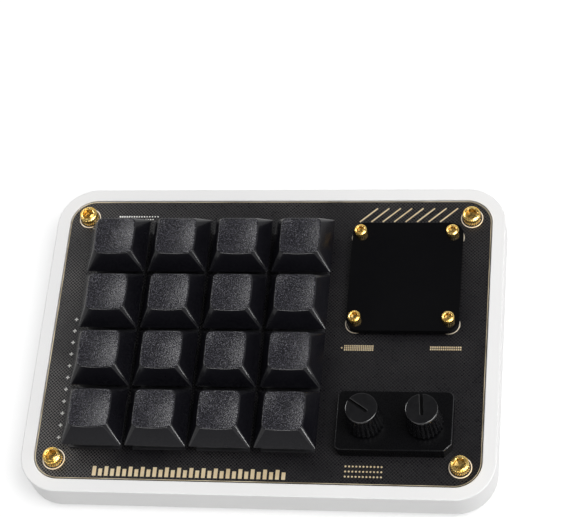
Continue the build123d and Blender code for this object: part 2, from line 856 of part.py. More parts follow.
sides = (
    ("left", encoder_left_x, left_pointer_angle),
    ("right", encoder_right_x, right_pointer_angle),
)
for side, side_x, pointer_angle in sides:
    keep(encoder_pusher(side_x, encoder_y), f"encoder_pusher_{side}")
    keep(encoder_shaft(side_x, encoder_y), f"encoder_shaft_{side}")
    keep(knob(side_x, encoder_y, pointer_angle), f"knob_{side}")
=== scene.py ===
from math import atan2, cos, degrees, pi, radians, sin, sqrt

import bmesh
import bpy
from mathutils import Matrix, Quaternion, Vector


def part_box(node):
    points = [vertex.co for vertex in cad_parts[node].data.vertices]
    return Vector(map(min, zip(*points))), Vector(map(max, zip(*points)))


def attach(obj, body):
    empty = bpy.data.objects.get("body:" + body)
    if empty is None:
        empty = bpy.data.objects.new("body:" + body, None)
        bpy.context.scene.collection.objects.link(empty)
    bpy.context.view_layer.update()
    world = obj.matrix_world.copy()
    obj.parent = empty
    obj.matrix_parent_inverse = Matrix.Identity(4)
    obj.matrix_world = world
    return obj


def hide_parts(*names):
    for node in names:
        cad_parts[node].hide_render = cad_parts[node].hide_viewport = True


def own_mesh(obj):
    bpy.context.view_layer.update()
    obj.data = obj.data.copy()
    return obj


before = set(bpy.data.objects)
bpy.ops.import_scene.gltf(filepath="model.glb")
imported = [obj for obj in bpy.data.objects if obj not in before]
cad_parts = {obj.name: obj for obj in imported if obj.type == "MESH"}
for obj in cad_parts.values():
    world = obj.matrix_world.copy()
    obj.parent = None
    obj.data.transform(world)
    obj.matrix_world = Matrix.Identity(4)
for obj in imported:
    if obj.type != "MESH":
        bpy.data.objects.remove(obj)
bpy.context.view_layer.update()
mm = 0.001
print("frame loaded")

# ---- camera, light and floor

cameraView = {
    "place": (108.27, -255.82, 530.69), "aim": (3.25, 26.61, 13.3), "roll": -17.66,
    "lens": 124.52, "clip": (0.01, 20.0),
}
studio = {
    "aim": (0, 0, 12), "floorSize": 8.0, "floorTone": 0.57, "floorLift": 0.54,
    "horizonLight": 0.41, "backdropLight": 0.95, "horizonFade": (0.05, 0.75),
    "ceilingLight": 0.42, "ceilingMirrored": 0.175,
}
softboxes = {
    # direction from the part, distance and size in metres, glow, and whether only gloss sees it
    "softboxTop": ((0.42, -0.12, 0.9), 1.5, (0.8, 0.8), 7.1, False),
    "softboxRight": ((0.88, -0.36, 0.26), 1.2, (0.32, 0.24), 5.6, False),
    "glintCard": ((-0.56, 0.44, 0.7), 1.1, (0.3, 0.3), 9.6, True),
    "edgeCard": ((0.86, -0.5, 0.14), 1.1, (0.24, 0.24), 20.0, True),
    "lipCard": ((-0.19, -0.85, 0.49), 1.1, (0.26, 0.26), 13.0, True),
}


def inMetres(point):
    return Vector(point) * mm


def rgba(colour):
    return (*colour, 1)


def addObject(name, data):
    item = bpy.data.objects.new(name, data)
    bpy.context.scene.collection.objects.link(item)
    return item


def meshOf(bm, name):
    mesh = bpy.data.meshes.new(name)
    bm.to_mesh(mesh)
    bm.free()
    return mesh


def wire(tree, node, sockets):
    # Each socket takes a value, or the output of another node
    for socket, value in sockets.items():
        if isinstance(value, bpy.types.NodeSocket):
            tree.links.new(value, node.inputs[socket])
        else:
            node.inputs[socket].default_value = value


def addNode(tree, kind, sockets=None, **settings):
    node = tree.nodes.new(f"ShaderNode{kind}")
    for setting, value in settings.items():
        setattr(node, setting, value)
    wire(tree, node, sockets or {})
    return node


def calculate(tree, operation, first, second):
    return addNode(tree, "Math", {0: first, 1: second}, operation=operation).outputs[0]


def blend(tree, share, first, second, kind="FLOAT"):
    sockets = {"Factor": share, "A": first, "B": second}
    return addNode(tree, "Mix", sockets, data_type=kind).outputs["Result"]


def spread(tree, value, source, target=(0.0, 1.0), way="LINEAR"):
    # The range source stretched to the range target
    sockets = {"Value": value, "From Min": source[0], "From Max": source[1],
               "To Min": target[0], "To Max": target[1]}
    return addNode(tree, "MapRange", sockets, interpolation_type=way).outputs["Result"]


def makeCamera(view):
    camera = addObject("camera", bpy.data.cameras.new("camera"))
    camera.data.lens = view["lens"]
    camera.data.clip_start, camera.data.clip_end = view["clip"]
    place = inMetres(view["place"])
    gaze = (inMetres(view["aim"]) - place).to_track_quat("-Z", "Y")
    camera.rotation_mode = "QUATERNION"
    camera.location = place
    camera.rotation_quaternion = gaze @ Quaternion((0, 0, 1), radians(view["roll"]))
    bpy.context.scene.camera = camera


def makeSoftbox(name, towards, away, size, glow, glintOnly):
    light = bpy.data.lights.new(name, "AREA")
    light.shape = "RECTANGLE"
    light.size, light.size_y = size
    light.energy = pi * light.size * light.size_y * glow
    lamp = addObject(name, light)
    direction = Vector(towards).normalized()
    lamp.location = inMetres(studio["aim"]) + direction * away
    lamp.rotation_euler = (-direction).to_track_quat("-Z", "Y").to_euler()
    lamp.visible_camera = False
    lamp.visible_diffuse = not glintOnly


def makeWorld():
    # White to the camera; metal and gloss see a pale horizon under a dim ceiling
    world = bpy.data.worlds.new("studioWorld")
    bpy.context.scene.world = world
    world.use_nodes = True
    tree = world.node_tree
    sky = addNode(tree, "TexCoord").outputs["Generated"]
    height = addNode(tree, "SeparateXYZ", {0: sky}).outputs["Z"]
    rays = addNode(tree, "LightPath").outputs
    mirrored = calculate(tree, "MAXIMUM", rays["Is Glossy Ray"], rays["Is Transmission Ray"])
    horizon = blend(tree, mirrored, studio["horizonLight"], studio["backdropLight"])
    ceiling = blend(tree, mirrored, studio["ceilingLight"], studio["ceilingMirrored"])
    fade = spread(tree, height, studio["horizonFade"], (horizon, ceiling), "SMOOTHSTEP")
    wire(tree, tree.nodes["Background"], {
        "Color": (1, 1, 1, 1), "Strength": blend(tree, rays["Is Camera Ray"], fade, 1.0),
    })


def makeFloor():
    bm = bmesh.new()
    bmesh.ops.create_grid(bm, x_segments=1, y_segments=1, size=studio["floorSize"] / 2)
    mesh = meshOf(bm, "floor")
    addObject("floor", mesh)
    material = bpy.data.materials.new("floorPaper")
    material.use_nodes = True
    tree = material.node_tree
    tree.nodes.clear()
    rays = addNode(tree, "LightPath").outputs
    seen = calculate(tree, "MAXIMUM", rays["Is Camera Ray"], rays["Is Glossy Ray"])
    clear = calculate(tree, "MAXIMUM", seen, rays["Is Transmission Ray"])
    level = calculate(tree, "MULTIPLY", clear, studio["floorLift"])
    paper = addNode(tree, "BsdfDiffuse", {"Color": rgba((studio["floorTone"],) * 3)})
    lift = addNode(tree, "Emission", {"Strength": level})
    both = addNode(tree, "AddShader", {0: paper.outputs[0], 1: lift.outputs[0]})
    addNode(tree, "OutputMaterial", {"Surface": both.outputs[0]})
    mesh.materials.append(material)


makeCamera(cameraView)
for boxName, boxValues in softboxes.items():
    makeSoftbox(boxName, *boxValues)
makeWorld()
makeFloor()
bpy.context.scene.view_settings.view_transform = "Standard"
print("camera, lights and floor ready")

# ---- shared shader groups

effectValues = {
    "driftDetail": 3.0, "driftSpread": (0.35, 0.65),
    "grainDetail": 2.0, "grainRoughness": 0.6, "grainSpread": (0.3, 0.7),
    "edgeBend": (0.53, 0.62), "hollowBend": (0.49, 0.42),
    "wearScale": 1.4, "wearDetail": 4.0, "wearSpread": (0.42, 0.62),
}


def newGroup(name, inputs, outputs):
    # inputs: name -> default number or colour; outputs: name -> kind
    group = bpy.data.node_groups.new(name, "ShaderNodeTree")
    for socket, value in inputs.items():
        kind = "NodeSocketFloat" if isinstance(value, float) else "NodeSocketColor"
        made = group.interface.new_socket(socket, in_out="INPUT", socket_type=kind)
        made.default_value = value
    for socket, kind in outputs.items():
        group.interface.new_socket(socket, in_out="OUTPUT", socket_type=f"NodeSocket{kind}")
    given = group.nodes.new("NodeGroupInput").outputs
    return group, given, group.nodes.new("NodeGroupOutput")


def millimetres(tree):
    # Object coordinates counted in millimetres
    place = addNode(tree, "TexCoord").outputs["Object"]
    return addNode(tree, "VectorMath", {0: place, "Scale": 1 / mm}, operation="SCALE").outputs[0]


def noiseIn(tree, **sockets):
    return addNode(tree, "TexNoise", {"Vector": millimetres(tree), **sockets}).outputs["Fac"]


def makeToneGroup(spec):
    # A slow drift between two colours
    tree, given, result = newGroup(
        "toneDrift",
        {"Base": (0.5, 0.5, 0.5, 1), "Drift": (0.4, 0.4, 0.4, 1), "Scale": 0.1},
        {"Color": "Color"},
    )
    noise = noiseIn(tree, Scale=given["Scale"], Detail=spec["driftDetail"])
    share = spread(tree, noise, spec["driftSpread"])
    wire(tree, result, {"Color": blend(tree, share, given["Base"], given["Drift"], "RGBA")})
    return tree


def makeGrainGroup(spec):
    # Fine grain: a height for bump and a roughness that follows it
    tree, given, result = newGroup(
        "fineGrain", {"Scale": 3.0, "Smooth": 0.3, "Rough": 0.5},
        {"Height": "Float", "Roughness": "Float"},
    )
    noise = noiseIn(
        tree, Scale=given["Scale"], Detail=spec["grainDetail"],
        Roughness=spec["grainRoughness"],
    )
    rough = spread(tree, noise, spec["grainSpread"], (given["Smooth"], given["Rough"]))
    wire(tree, result, {"Height": noise, "Roughness": rough})
    return tree


def makeWearAndShadeGroup(spec):
    # A mask of rubbed edges, sharp and convex ones broken up by noise, and one of hollows, where a
    # finish may paint shade
    tree, given, result = newGroup(
        "wearAndShadeMasks", {"Amount": 0.3}, {"Mask": "Float", "HollowShade": "Float"}
    )
    bend = addNode(tree, "NewGeometry").outputs["Pointiness"]
    noise = noiseIn(tree, Scale=spec["wearScale"], Detail=spec["wearDetail"])
    edges = spread(tree, bend, spec["edgeBend"])
    broken = calculate(tree, "MULTIPLY", edges, spread(tree, noise, spec["wearSpread"]))
    wire(tree, result, {
        "Mask": calculate(tree, "MULTIPLY", broken, given["Amount"]),
        "HollowShade": spread(tree, bend, spec["hollowBend"]),
    })
    return tree


toneDrift = makeToneGroup(effectValues)
fineGrain = makeGrainGroup(effectValues)
wearAndShadeMasks = makeWearAndShadeGroup(effectValues)


def useGroup(tree, group, **sockets):
    return addNode(tree, "Group", sockets, node_tree=group).outputs


def drifting(tree, base, drift, scale):
    return useGroup(tree, toneDrift, Base=rgba(base), Drift=rgba(drift), Scale=scale)["Color"]


def grained(tree, scale, rough):
    return useGroup(tree, fineGrain, Scale=scale, Smooth=rough[0], Rough=rough[1])


def raised(tree, height, strength, depth):
    sockets = {"Height": height, "Strength": strength, "Distance": depth * mm}
    return addNode(tree, "Bump", sockets).outputs["Normal"]


def newMaterial(name):
    material = bpy.data.materials.new(name)
    material.use_nodes = True
    return material, material.node_tree, material.node_tree.nodes["Principled BSDF"]


# ---- finishes. tones: two colours in patches, span: how fine the patches are;
# rough: smoothest and roughest; bump: strength and depth; wear: amount and rubbed colour

plainLook = {
    "span": 0.4, "grain": 5.0, "bump": (0.1, 0.01), "wear": (0.0, (0, 0, 0)),
    "metal": 0.0, "specular": 0.5, "coat": 0.0,
}
padLook = {"span": 0.25, "rough": (0.3, 0.45), "bump": (0.12, 0.02)}
finishes = {
    "satinWhite": {
        "tones": ((0.9, 0.897, 0.892), (0.885, 0.882, 0.88)), "span": 0.03,
        "grain": 4.0, "rough": (0.34, 0.42), "bump": (0.1, 0.02),
        "wear": (0.25, (0.9, 0.9, 0.91)),
    },
    "footRubber": {
        "tones": ((0.012, 0.012, 0.013), (0.018, 0.018, 0.02)),
        "grain": 6.0, "rough": (0.12, 0.24), "wear": (0.2, (0.05, 0.05, 0.052)),
    },
    "polishedGold": {
        # The pale rubbed tone on the edges is partly wear and partly a painted highlight
        "tones": ((1.0, 0.74, 0.28), (0.98, 0.6, 0.13)), "span": 0.5,
        "grain": 2.4, "rough": (0.16, 0.34), "bump": (0.3, 0.05),
        # The hollow tone is painted shade in the socket and between the knurls
        "wear": (0.6, (1.0, 0.92, 0.66)), "hollowShadeTone": (0.17, 0.105, 0.028), "metal": 1.0,
    },
    "turnedBrass": {
        "tones": ((0.78, 0.57, 0.26), (0.66, 0.46, 0.2)), "rough": (0.25, 0.4),
        "bump": (0.15, 0.02), "wear": (0.3, (0.9, 0.75, 0.45)), "metal": 1.0,
    },
    "bareGoldPad": {
        **padLook, "tones": ((0.82, 0.67, 0.42), (0.72, 0.56, 0.33)),
        "wear": (0.2, (0.85, 0.78, 0.66)), "metal": 0.35,
    },
    "brightPad": {
        **padLook, "tones": ((1.0, 0.9, 0.74), (0.92, 0.8, 0.62)),
        "wear": (0.2, (1.0, 0.95, 0.85)), "metal": 0.25,
    },
    "maskedGold": {
        **padLook, "tones": ((0.86, 0.74, 0.52), (0.34, 0.28, 0.18)),
        "span": 0.12, "wear": (0.1, (0.6, 0.5, 0.36)), "metal": 0.5,
    },
    "printWhite": {
        "tones": ((0.92, 0.91, 0.88), (0.8, 0.79, 0.76)), "span": 0.6,
        "grain": 6.0, "rough": (0.5, 0.65),
    },
    "housingNylon": {
        "tones": ((0.02, 0.02, 0.022), (0.03, 0.03, 0.033)), "span": 0.2,
        "grain": 3.0, "rough": (0.28, 0.42), "bump": (0.12, 0.03),
        "wear": (0.1, (0.08, 0.08, 0.085)),
    },
    "stemPlastic": {
        "tones": ((0.1, 0.1, 0.105), (0.13, 0.13, 0.135)), "span": 0.3,
        "grain": 4.0, "rough": (0.32, 0.46), "bump": (0.1, 0.02),
        "wear": (0.1, (0.2, 0.2, 0.21)),
    },
    "coverGloss": {
        "tones": ((0.0016, 0.0016, 0.0022), (0.0024, 0.0024, 0.003)),
        "span": 0.05, "grain": 0.6, "rough": (0.03, 0.07), "bump": (0.03, 0.01),
        "wear": (0.1, (0.01, 0.01, 0.012)), "specular": 0.2,
    },
    "coverEdge": {
        "tones": ((0.002, 0.002, 0.0024), (0.003, 0.003, 0.0034)),
        "grain": 4.0, "rough": (0.6, 0.75), "specular": 0.08,
    },
    "deckPlastic": {
        "tones": ((0.0026, 0.0026, 0.0032), (0.004, 0.004, 0.0046)),
        "span": 0.08, "grain": 2.6, "rough": (0.22, 0.34), "bump": (0.3, 0.03),
        "specular": 0.1,
    },
    # Glossier and lighter than the deck; the lighter colour is a painted highlight on its side
    # edges
    "deckEdgeHighlight": {
        "tones": ((0.01, 0.01, 0.012), (0.024, 0.024, 0.027)), "span": 1.2,
        "grain": 1.5, "rough": (0.06, 0.18), "bump": (0.4, 0.06), "specular": 0.45,
    },
    "knobBlack": {
        "tones": ((0.0048, 0.0048, 0.0056), (0.0078, 0.0078, 0.0088)),
        "span": 0.5, "grain": 1.2, "rough": (0.08, 0.2), "bump": (0.25, 0.03),
        "wear": (0.15, (0.06, 0.06, 0.063)), "specular": 0.42,
    },
    # Glossier and a little lighter than the knob; the lighter colour is a painted highlight
    "knobEdgeHighlight": {
        "tones": ((0.01, 0.01, 0.011), (0.016, 0.016, 0.017)), "span": 0.5,
        "grain": 6.0, "rough": (0.1, 0.18), "bump": (0.08, 0.01),
        "wear": (0.2, (0.1, 0.1, 0.103)), "specular": 0.7,
    },
    "slotShade": {
        "tones": ((0.0008, 0.0008, 0.001), (0.0014, 0.0014, 0.0017)),
        "span": 0.5, "grain": 3.0, "rough": (0.45, 0.6), "specular": 0.1,
    },
    "capEdge": {
        "tones": ((0.006, 0.0059, 0.0076), (0.009, 0.0088, 0.0112)),
        "grain": 3.2, "rough": (0.14, 0.22), "bump": (0.15, 0.02),
        "wear": (0.2, (0.05, 0.05, 0.053)), "specular": 0.32,
    },
    "drawnSteel": {
        "tones": ((0.58, 0.58, 0.57), (0.48, 0.48, 0.48)), "span": 0.3,
        "rough": (0.2, 0.34), "bump": (0.12, 0.01), "wear": (0.3, (0.75, 0.75, 0.74)),
        "metal": 1.0,
    },
    "innerBoard": {
        "tones": ((0.014, 0.015, 0.017), (0.022, 0.023, 0.026)), "span": 0.15,
        "grain": 2.0, "rough": (0.22, 0.36), "bump": (0.2, 0.03),
    },
    "chipEpoxy": {
        "tones": ((0.022, 0.022, 0.023), (0.03, 0.03, 0.031)), "span": 0.5,
        "grain": 6.0, "rough": (0.45, 0.62), "bump": (0.3, 0.02),
        "wear": (0.1, (0.1, 0.1, 0.1)),
    },
    "panelGlass": {
        "tones": ((0.006, 0.007, 0.01), (0.01, 0.011, 0.015)), "span": 0.1,
        "grain": 0.5, "rough": (0.02, 0.06), "bump": (0.03, 0.01), "coat": 0.5,
    },
}


def finish(name, given):
    # Colour drift, grain, worn edges, painted shade in hollows and bump over a Principled shader
    look = {**plainLook, **given}
    material, tree, shader = newMaterial(name)
    tone = drifting(tree, *look["tones"], look["span"])
    grain = grained(tree, look["grain"], look["rough"])
    amount, rubbedTone = look["wear"]
    wear = useGroup(tree, wearAndShadeMasks, Amount=amount)
    worn = blend(tree, wear["Mask"], tone, rgba(rubbedTone), "RGBA")
    # Hollows take the hollow tone, painted shade, where a look gives one, else the base tone
    hollowShade = rgba(look.get("hollowShadeTone", look["tones"][0]))
    wire(tree, shader, {
        "Metallic": look["metal"],
        "Specular IOR Level": look["specular"],
        "Coat Weight": look["coat"],
        "Base Color": blend(tree, wear["HollowShade"], worn, hollowShade, "RGBA"),
        "Roughness": grain["Roughness"],
        "Normal": raised(tree, grain["Height"], *look["bump"]),
    })
    return material


plateLook = {
    "mask": (0.0028, 0.0026, 0.0044), "copper": (0.235, 0.222, 0.212), "specular": 0.26,
    "pitch": 1.08, "line": 0.13, "relief": (0.8, 0.012), "patch": 0.4, "patchScale": 0.045,
    # The next ranges set where the copper lattice is painted brighter, a painted sheen on the left
    # and along the rear
    "sheenLeft": (-60.0, -38.0), "sheenRear": (42.0, 36.0), "rearSheenShare": 0.5, "faint": 0.28,
    "grain": 0.9, "rough": (0.24, 0.38),
}


def makePlateMaterial(look):
    # Black mask over a copper mesh: two sets of slanting lines that cross
    material, tree, shader = newMaterial("plateMask")
    place = addNode(tree, "SeparateXYZ", {0: millimetres(tree)}).outputs
    bars = []
    for operation in ("ADD", "SUBTRACT"):
        along = calculate(tree, operation, place["X"], place["Y"])
        wave = calculate(tree, "PINGPONG", along, look["pitch"] / 2)
        width = look["pitch"] * look["line"]
        bars.append(spread(tree, wave, (width, 0.0), way="SMOOTHSTEP"))
    lattice = calculate(tree, "MAXIMUM", *bars)
    # The copper lattice is painted brighter on the left and along the rear, a painted sheen where
    # it catches the light, and shows in random patches
    left = spread(tree, place["X"], look["sheenLeft"], (1.0, look["faint"]))
    rear = spread(tree, place["Y"], look["sheenRear"], (look["rearSheenShare"], look["faint"]))
    patch = drifting(tree, (1, 1, 1), (look["patch"],) * 3, look["patchScale"])
    patches = calculate(tree, "MULTIPLY", calculate(tree, "MAXIMUM", left, rear), patch)
    copperWithSheen = calculate(tree, "MULTIPLY", patches, lattice)
    wire(tree, shader, {
        "Specular IOR Level": look["specular"],
        "Base Color": blend(tree, copperWithSheen, rgba(look["mask"]), rgba(look["copper"]), "RGBA"),
        "Roughness": grained(tree, look["grain"], look["rough"])["Roughness"],
        "Normal": raised(tree, lattice, *look["relief"]),
    })
    return material


capLook = {
    "side": (0.0046, 0.0044, 0.0064), "sideDrift": (0.0062, 0.006, 0.0084),
    "span": 0.12, "sideGrain": 3.2, "sideRough": (0.2, 0.27),
    "wear": (0.08, (0.07, 0.07, 0.073)),
    "top": (0.007, 0.0068, 0.0105), "speck": (0.12, 0.115, 0.142), "specks": (0.54, 0.84),
    "topGrain": {"Scale": 3.5, "Detail": 0.5, "Roughness": 0.6}, "topRough": 0.25,
    "relief": (1.0, 0.088), "facing": (0.93, 0.955), "specular": (0.155, 0.5),
}


def makeCapMaterial(look):
    # Smooth sides and a coarse sparkling grain on the dished top
    material, tree, shader = newMaterial("capPlastic")
    facing = addNode(tree, "TexCoord").outputs["Normal"]
    upward = addNode(tree, "SeparateXYZ", {0: facing}).outputs["Z"]
    onTop = spread(tree, upward, look["facing"])
    noise = noiseIn(tree, **look["topGrain"])
    specks = spread(tree, noise, look["specks"])
    topTone = blend(tree, specks, rgba(look["top"]), rgba(look["speck"]), "RGBA")
    sideTone = drifting(tree, look["side"], look["sideDrift"], look["span"])
    tone = blend(tree, onTop, sideTone, topTone, "RGBA")
    amount, rubbedTone = look["wear"]
    rubbed = useGroup(tree, wearAndShadeMasks, Amount=amount)["Mask"]
    sideRough = grained(tree, look["sideGrain"], look["sideRough"])["Roughness"]
    height = calculate(tree, "MULTIPLY", noise, onTop)
    wire(tree, shader, {
        "Specular IOR Level": spread(tree, onTop, (0.0, 1.0), look["specular"]),
        "Base Color": blend(tree, rubbed, tone, rgba(rubbedTone), "RGBA"),
        "Roughness": blend(tree, onTop, sideRough, look["topRough"]),
        "Normal": raised(tree, height, *look["relief"]),
    })
    return material


materials = {name: finish(name, look) for name, look in finishes.items()}
materials["plateMask"] = makePlateMaterial(plateLook)
materials["capPlastic"] = makeCapMaterial(capLook)
print("materials made:", len(materials))

# ---- modelling helpers; sizes are in millimetres


past = 1  # how far a cutter passes the face it starts from


def boxOf(node):
    return [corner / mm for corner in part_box(node)]


def middleOf(node):
    # In metres
    low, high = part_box(node)
    return (low + high) / 2


def blockMesh(centre, size):
    # A block by its middle and size
    bm = bmesh.new()
    place = Matrix.Translation(inMetres(centre)) @ Matrix.Diagonal((*inMetres(size), 1))
    bmesh.ops.create_cube(bm, size=1, matrix=place)
    return bm


def roundEdges(bm, edges, radius, steps):
    bmesh.ops.bevel(
        bm, geom=list(edges), offset=radius * mm, segments=steps, profile=0.5,
        affect="EDGES", clamp_overlap=True, material=-1,
    )


def roundBlock(centre, size, axis, radius, steps):
    # A block with its edges along one axis rounded
    bm = blockMesh(centre, size)
    roundEdges(bm, edgesAlong(bm, axis), radius, steps)
    return bm


def insetFace(bm, face, width):
    bmesh.ops.inset_region(bm, faces=[face], thickness=width * mm, use_even_offset=True)


def markLeaning(bm, sideways=0.0):
    # Faces between level and upright take the piece's second finish, or only those that lean
    # along X by more than sideways
    bm.normal_update()
    for f in bm.faces:
        if 0.1 < abs(f.normal.z) < 0.98 and abs(f.normal.x) >= sideways:
            f.material_index = 1


def edgesAlong(bm, axis):
    return [
        e for e in bm.edges
        if abs((e.verts[0].co - e.verts[1].co).normalized()[axis]) > 0.99
    ]


def edgesAtHeight(bm, height, outer):
    # Edges at one height where a wall meets a level face; outer picks walls that face outwards
    bm.normal_update()
    found = []
    for e in bm.edges:
        if max(abs(v.co.z - height * mm) for v in e.verts) > 1e-6 or len(e.link_faces) != 2:
            continue
        walls = [f for f in e.link_faces if abs(f.normal.z) < 0.5]
        if walls and any(abs(f.normal.z) > 0.9 for f in e.link_faces):
            middle = (e.verts[0].co + e.verts[1].co) / 2
            if outer == (walls[0].normal.xy.dot(middle.xy) > 0):
                found.append(e)
    return found


def levelFace(bm, height):
    # The largest level face at one height
    bm.normal_update()
    faces = [
        f for f in bm.faces
        if abs(f.normal.z) > 0.9 and abs(f.calc_center_median().z - height * mm) < 1e-6
    ]
    return max(faces, key=lambda f: f.calc_area())


def grow(bm, face, place):
    # Extrudes one face and puts each of its new corners where place says
    grown = bmesh.ops.extrude_discrete_faces(bm, faces=[face])["faces"][0]
    for v in grown.verts:
        v.co = place(v.co)
    return grown


def closeEnds(bm):
    bmesh.ops.holes_fill(bm, edges=[e for e in bm.edges if e.is_boundary], sides=0)


def turnedMesh(centre, rings, segments, ripple=None):
    # A turned solid: rings of radius and height, stacked from the first one.
    # ripple gives a ring's radius at an angle, for knurls and hexagons
    bm = bmesh.new()
    x, y = centre
    bmesh.ops.create_circle(bm, cap_ends=True, radius=mm, segments=segments)
    bm.faces.ensure_lookup_table()
    face = bm.faces[0]

    def ringPlace(index):
        radius, height = rings[index]

        def place(co):
            angle = atan2(co.y - y * mm, co.x - x * mm)
            reach = ripple(index, radius, angle) if ripple else radius
            return Vector((x + reach * cos(angle), y + reach * sin(angle), height)) * mm

        return place

    bmesh.ops.translate(bm, verts=bm.verts, vec=inMetres((x, y, 0)))
    for v in bm.verts:
        v.co = ringPlace(0)(v.co)
    for index in range(1, len(rings)):
        face = grow(bm, face, ringPlace(index))
    closeEnds(bm)
    bmesh.ops.recalc_face_normals(bm, faces=bm.faces)
    return bm


def rodMesh(centre, radius, low, high, segments):
    return turnedMesh(centre, [(radius, low), (radius, high)], segments)


def looseObject(bm, name):
    bmesh.ops.recalc_face_normals(bm, faces=bm.faces)
    return addObject(name, meshOf(bm, name))


def carve(bm, tools, operation="DIFFERENCE"):
    # The mesh with each tool cut away from it or joined to it
    item = looseObject(bm, "carved")
    helpers = [looseObject(tool, "tool") for tool in tools]
    for helper in helpers:
        cut = item.modifiers.new("cut", "BOOLEAN")
        cut.object = helper
        cut.operation = operation
        cut.solver = "EXACT"
    result = bmesh.new()
    result.from_object(item, bpy.context.evaluated_depsgraph_get())
    for used in [item, *helpers]:
        mesh = used.data
        bpy.data.objects.remove(used)
        bpy.data.meshes.remove(mesh)
    return result


def gather(meshes):
    # Several meshes in one
    whole = bmesh.new()
    for bm in meshes:
        mesh = meshOf(bm, "part")
        whole.from_mesh(mesh)
        bpy.data.meshes.remove(mesh)
    return whole


def flatBorders(bm):
    # Edges where a level or upright face meets a leaning one
    bm.normal_update()
    bm.edges.index_update()

    def leans(f):
        return 1e-3 < abs(f.normal.z) < 0.9999

    return [
        e.index for e in bm.edges
        if len(e.link_faces) == 2 and leans(e.link_faces[0]) != leans(e.link_faces[1])
    ]


def makePiece(bm, name, looks, stands=(), body="base", sharp=32, flat=False):
    # flat keeps level and upright faces flat beside their rounded edges
    bmesh.ops.remove_doubles(bm, verts=bm.verts, dist=5e-7)
    bmesh.ops.recalc_face_normals(bm, faces=bm.faces)
    borders = flatBorders(bm) if flat else []
    mesh = meshOf(bm, name)
    mesh.shade_smooth()
    mesh.set_sharp_from_angle(angle=radians(sharp))
    for border in borders:
        mesh.edges[border].use_edge_sharp = True
    for look in looks:
        mesh.materials.append(materials[look])
    piece = addObject(name, mesh)
    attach(piece, body)
    if stands:
        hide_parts(*stands)
    return piece


# ---- levels and places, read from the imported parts

cornerInset, coverHead = 5.9, 1.9
plateLow, plateHigh = boxOf("top_plate")
caseLow, caseHigh = boxOf("case_shell")
plateTop, plateBottom = plateHigh.z, plateLow.z
cornerPlaces = [
    (sideX * (plateHigh.x - cornerInset), sideY * (plateHigh.y - cornerInset))
    for sideX in (-1, 1) for sideY in (-1, 1)
]
screwLow, screwHigh = boxOf("display_screws")
coverPlaces = [
    (x, y)
    for x in (screwLow.x + coverHead, screwHigh.x - coverHead)
    for y in (screwLow.y + coverHead, screwHigh.y - coverHead)
]
keyNames = [f"r{row}c{column}" for row in range(1, 5) for column in range(1, 5)]

# ---- case. Each round is a radius and its steps

caseValues = {
    "corner": (12.0, 24), "rimWidth": 4.0, "ledge": 2.0, "floor": 2.4,
    "bottomRound": (2.2, 7), "rimRound": (0.34, 4), "innerRound": (0.22, 3),
    "post": 9.2, "postRound": (1.6, 4), "postSunk": 0.5,
    "insertRadius": 2.1, "insertDepth": 5.6, "insertSides": 32,
    "port": (9.54, 6, 3.86), "portRound": (1.75, 8), "portPocket": (17.0, 4.6),
    "pocketGap": 0.02, "rearWall": 1.8,
}


def makeCase(spec):
    width, depth = caseHigh.x - caseLow.x, caseHigh.y - caseLow.y
    height = caseHigh.z - caseLow.z
    floorTop = caseLow.z + spec["floor"]
    inside = plateBottom - floorTop
    middle = (0, 0, caseLow.z + height / 2)
    bm = roundBlock(middle, (width, depth, height), 2, *spec["corner"])
    for step, bottom in ((spec["rimWidth"], plateBottom), (spec["ledge"], floorTop)):
        seat = levelFace(bm, caseHigh.z if bottom == plateBottom else plateBottom)
        insetFace(bm, seat, step)
        grow(bm, seat, lambda co, level=bottom: Vector((co.x, co.y, level * mm)))
    roundEdges(bm, edgesAtHeight(bm, caseLow.z, outer=True), *spec["bottomRound"])
    roundEdges(bm, edgesAtHeight(bm, caseHigh.z, outer=True), *spec["rimRound"])
    roundEdges(bm, edgesAtHeight(bm, caseHigh.z, outer=False), *spec["innerRound"])
    # Corner posts run a little into the floor and the walls
    sunk, post = spec["postSunk"], spec["post"]
    postMiddle = (floorTop + plateBottom) / 2 - sunk / 2
    bm = carve(bm, [
        roundBlock((x, y, postMiddle), (post, post, inside + sunk), 2, *spec["postRound"])
        for x, y in cornerPlaces
    ], "UNION")
    insertFoot = plateBottom - spec["insertDepth"]
    holes = [
        rodMesh(place, spec["insertRadius"], insertFoot, plateBottom + past, spec["insertSides"])
        for place in cornerPlaces
    ]
    portCentre = middleOf("usb_socket") / mm
    pocketWidth, pocketDepth = spec["portPocket"]
    pocketY = caseHigh.y - spec["rearWall"] - pocketDepth / 2
    holes.append(blockMesh(
        (portCentre.x, pocketY, (floorTop + plateBottom) / 2),
        (pocketWidth, pocketDepth, inside - spec["pocketGap"]),
    ))
    mouth = (portCentre.x, caseHigh.y - 1, portCentre.z)
    holes.append(roundBlock(mouth, spec["port"], 1, *spec["portRound"]))
    bm = carve(bm, holes)
    makePiece(bm, "case_tray", ["satinWhite"], ["case_shell"], flat=True)


makeCase(caseValues)
print("case made")

# ---- feet

footValues = {
    "radius": 4.8, "steps": 14, "segments": 64, "edge": 0.25, "flat": 0.5,
    "stripLength": 20.0, "stripWidth": 3.0, "stripRound": (1.49, 10), "stripEdge": (0.45, 4),
}


